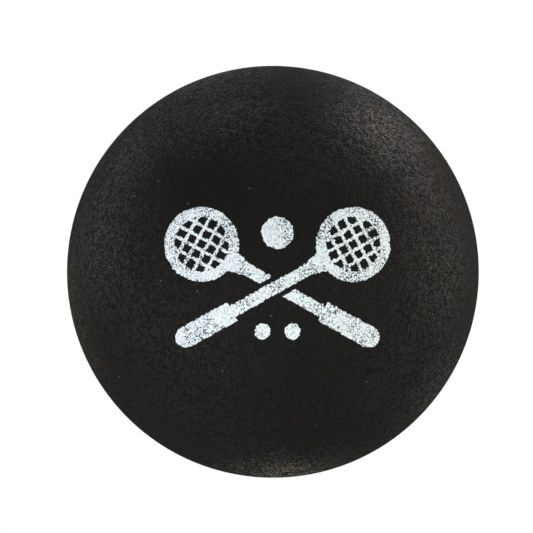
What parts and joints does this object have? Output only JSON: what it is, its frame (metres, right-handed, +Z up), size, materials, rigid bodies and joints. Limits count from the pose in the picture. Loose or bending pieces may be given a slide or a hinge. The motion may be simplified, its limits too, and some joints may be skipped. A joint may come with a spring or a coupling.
{
  "type": "squash ball",
  "caption": "Hollow black rubber squash ball: moulded half shells cemented at one seam, with a white ink print on the front.",
  "frame": {"origin": "centre of the ball", "axes": "+Z up; the print faces -Y and reads upright with +Z up; the Y axis runs through the pole of each half shell, so the seam lies in the XZ plane"},
  "size_m": [0.04, 0.04, 0.04],
  "materials": {
    "shell_rubber": "matte, finely buffed",
    "rubber_cement": "matte",
    "print_ink": "matte pad-printed ink film"
  },
  "bodies": {
    "root": {"front_half_shell": "shell_rubber", "rear_half_shell": "shell_rubber", "seam_cement": "rubber_cement", "ink_right_racket": "print_ink", "ink_left_racket": "print_ink", "ink_ball_mark": "print_ink", "ink_dot_pair": "print_ink"}
  },
  "joints": []
}
